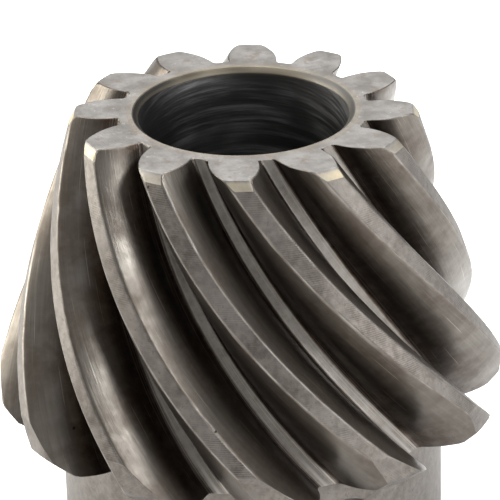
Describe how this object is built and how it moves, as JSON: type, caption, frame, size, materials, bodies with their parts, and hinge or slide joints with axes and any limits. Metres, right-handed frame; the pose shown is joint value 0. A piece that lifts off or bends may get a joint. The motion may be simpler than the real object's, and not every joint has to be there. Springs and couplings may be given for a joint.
{
  "type": "spiral bevel pinion",
  "caption": "Left-hand spiral bevel pinion with a plain through bore and a cylindrical hub held to its shaft by a radial socket set screw.",
  "frame": {"origin": "centre of the bore at the hub's end face", "axes": "+Z along the bore from the hub towards the small end (toe) of the teeth; the set screw's axis lies 63 degrees clockwise of +X seen from the toe"},
  "size_m": [0.0392, 0.0392, 0.036],
  "materials": {
    "cut_steel": "turned and hobbed, bright on the faces and dark with cutting oil on the flanks",
    "black_oxide_steel": "black oxide, satin"
  },
  "bodies": {
    "pinion_body": {"pinion": "cut_steel"},
    "screw_body": {"set_screw": "black_oxide_steel"}
  },
  "joints": [
    {"name": "set_screw_travel", "type": "slide", "parent": "pinion_body", "child": "screw_body", "axis": [0.454, -0.891, 0], "range_m": [-0.0012, 0.004]}
  ]
}
